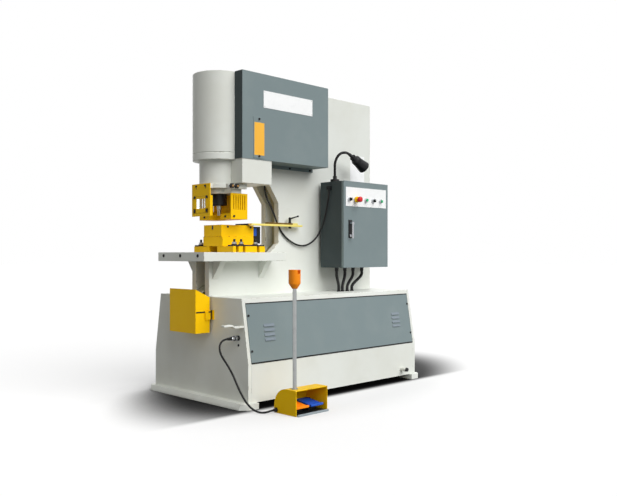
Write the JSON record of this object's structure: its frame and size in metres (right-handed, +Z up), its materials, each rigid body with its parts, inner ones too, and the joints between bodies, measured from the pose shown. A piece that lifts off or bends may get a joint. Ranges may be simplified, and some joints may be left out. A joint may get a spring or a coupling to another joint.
{
  "type": "hydraulic punching press",
  "caption": "Free-standing hydraulic C-frame punching press with die table, guards, slug bin, electrical cabinet, work lamp and a tethered foot switch.",
  "frame": {"origin": "floor level at the centre of the four anchor holes in the base", "axes": "+X from the punch end to the back, +Y to the far side from the cabinet, +Z up"},
  "size_m": [1.8168, 1.353, 2.078],
  "materials": {
    "pale_paint": "satin two-pack paint",
    "slate_paint": "fine textured powder coat",
    "yellow_paint": "gloss paint",
    "black_steel": "blackened",
    "bright_steel": "machined",
    "chrome_fitting": "polished",
    "brass_bar": "passivated",
    "black_rubber": "matte",
    "black_plastic": "moulded",
    "orange_plastic": "moulded",
    "blue_plastic": "moulded",
    "green_plastic": "translucent cap",
    "red_plastic": "moulded",
    "white_plate": "blank sheet",
    "clear_window": "clear sheet"
  },
  "bodies": {
    "machine": {"foot_rails": "pale_paint", "end_plates": "pale_paint", "base_shell": "pale_paint", "side_panels": "slate_paint", "cap_screws": "black_steel", "drain_stub": "bright_steel", "pump_motor": "slate_paint", "pump_and_valves": "bright_steel", "frame_plates": "pale_paint", "frame_webs": "pale_paint", "table_plate": "pale_paint", "head_box": "pale_paint", "cylinder_barrel": "pale_paint", "cylinder_gland": "pale_paint", "cover": "slate_paint", "stroke_bracket": "pale_paint", "stroke_knobs": "black_plastic", "die_holder_plate": "yellow_paint", "die_block_lower": "yellow_paint", "die_block_upper": "yellow_paint", "die_insert": "bright_steel", "holder_clamps": "black_steel", "gauge_arm": "brass_bar", "guard_mount": "pale_paint", "stripper_plate": "yellow_paint", "guard_grilles": "yellow_paint", "front_guard": "yellow_paint", "guard_window": "clear_window", "cabinet_shell": "slate_paint", "contactor_panel": "bright_steel", "cable_glands": "black_plastic", "cabinet_cables": "black_rubber", "lamp_base": "black_plastic", "pedal_base": "bright_steel", "pedal_hood": "yellow_paint", "pedal_pole": "chrome_fitting", "pole_shroud": "orange_plastic", "foot_cable": "black_rubber", "sensor_cable": "black_rubber", "bin_brackets": "yellow_paint"},
    "ram": {"piston_rod": "chrome_fitting", "coupling_nut": "black_steel", "punch": "bright_steel"},
    "door": {"cabinet_door": "slate_paint", "control_plate": "white_plate", "door_fittings": "chrome_fitting"},
    "handle": {"door_handle": "chrome_fitting"},
    "estop": {"estop_head": "red_plastic"},
    "start": {"start_button": "green_plastic"},
    "run": {"run_button": "green_plastic"},
    "mode": {"mode_selector": "black_plastic"},
    "jog": {"jog_selector": "black_plastic"},
    "lamp_arm": {"lamp_neck": "black_rubber"},
    "lamp": {"lamp_head": "black_plastic"},
    "stop": {"stop_carriage": "brass_bar"},
    "lever": {"clamp_lever": "black_plastic"},
    "left_pedal": {"pedal_left": "orange_plastic"},
    "right_pedal": {"pedal_right": "blue_plastic"},
    "pole_stop": {"pole_button": "red_plastic"},
    "bin": {"slug_bin": "yellow_paint"}
  },
  "joints": [
    {"name": "ram_stroke", "type": "slide", "parent": "machine", "child": "ram", "axis": [0, 0, -1], "range_m": [0, 0.07]},
    {"name": "door_swing", "type": "hinge", "parent": "machine", "child": "door", "pos_m": [0.677, -0.32215, 1.1275], "axis": [0, 0, 1], "range_deg": [0, 110]},
    {"name": "handle_turn", "type": "hinge", "parent": "door", "child": "handle", "pos_m": [0.252, -0.3486, 1.135], "axis": [0, -1, 0], "range_deg": [0, 90]},
    {"name": "estop_push", "type": "slide", "parent": "door", "child": "estop", "axis": [0, 1, 0], "range_m": [0, 0.006], "stiffness_N_per_m": 1500, "springref_m": -0.002},
    {"name": "start_push", "type": "slide", "parent": "door", "child": "start", "axis": [0, 1, 0], "range_m": [0, 0.004], "stiffness_N_per_m": 800, "springref_m": -0.001},
    {"name": "run_push", "type": "slide", "parent": "door", "child": "run", "axis": [0, 1, 0], "range_m": [0, 0.004], "stiffness_N_per_m": 800, "springref_m": -0.001},
    {"name": "mode_turn", "type": "hinge", "parent": "door", "child": "mode", "pos_m": [0.24155, -0.3508, 1.304], "axis": [0, -1, 0], "range_deg": [-45, 45]},
    {"name": "jog_turn", "type": "hinge", "parent": "door", "child": "jog", "pos_m": [0.49754, -0.3508, 1.304], "axis": [0, -1, 0], "range_deg": [-45, 45]},
    {"name": "lamp_swivel", "type": "hinge", "parent": "machine", "child": "lamp_arm", "pos_m": [0.216, -0.23, 1.4523], "axis": [0, 0, 1], "range_deg": [-100, 10]},
    {"name": "lamp_tilt", "type": "hinge", "parent": "lamp_arm", "child": "lamp", "pos_m": [0.40623, -0.23, 1.62287], "axis": [0, 1, 0], "range_deg": [-25, 25]},
    {"name": "stop_slide", "type": "slide", "parent": "machine", "child": "stop", "axis": [1, 0, 0], "range_m": [-0.1, 0.07]},
    {"name": "lever_turn", "type": "hinge", "parent": "stop", "child": "lever", "pos_m": [-0.123, -0.123, 1.131], "axis": [0, 0, 1], "range_deg": [-90, 15]},
    {"name": "left_pedal_press", "type": "hinge", "parent": "machine", "child": "left_pedal", "pos_m": [-0.66, -0.676, 0.048], "axis": [1, 0, 0], "range_deg": [0, 10], "stiffness_Nm_per_rad": 8, "springref_deg": -8.59},
    {"name": "right_pedal_press", "type": "hinge", "parent": "machine", "child": "right_pedal", "pos_m": [-0.54, -0.676, 0.048], "axis": [1, 0, 0], "range_deg": [0, 10], "stiffness_Nm_per_rad": 8, "springref_deg": -8.59},
    {"name": "pole_stop_push", "type": "slide", "parent": "machine", "child": "pole_stop", "axis": [0, 0, -1], "range_m": [0, 0.005], "stiffness_N_per_m": 1500, "springref_m": -0.002},
    {"name": "bin_lift", "type": "slide", "parent": "machine", "child": "bin", "axis": [0, 0, 1], "range_m": [0, 0.12]}
  ]
}
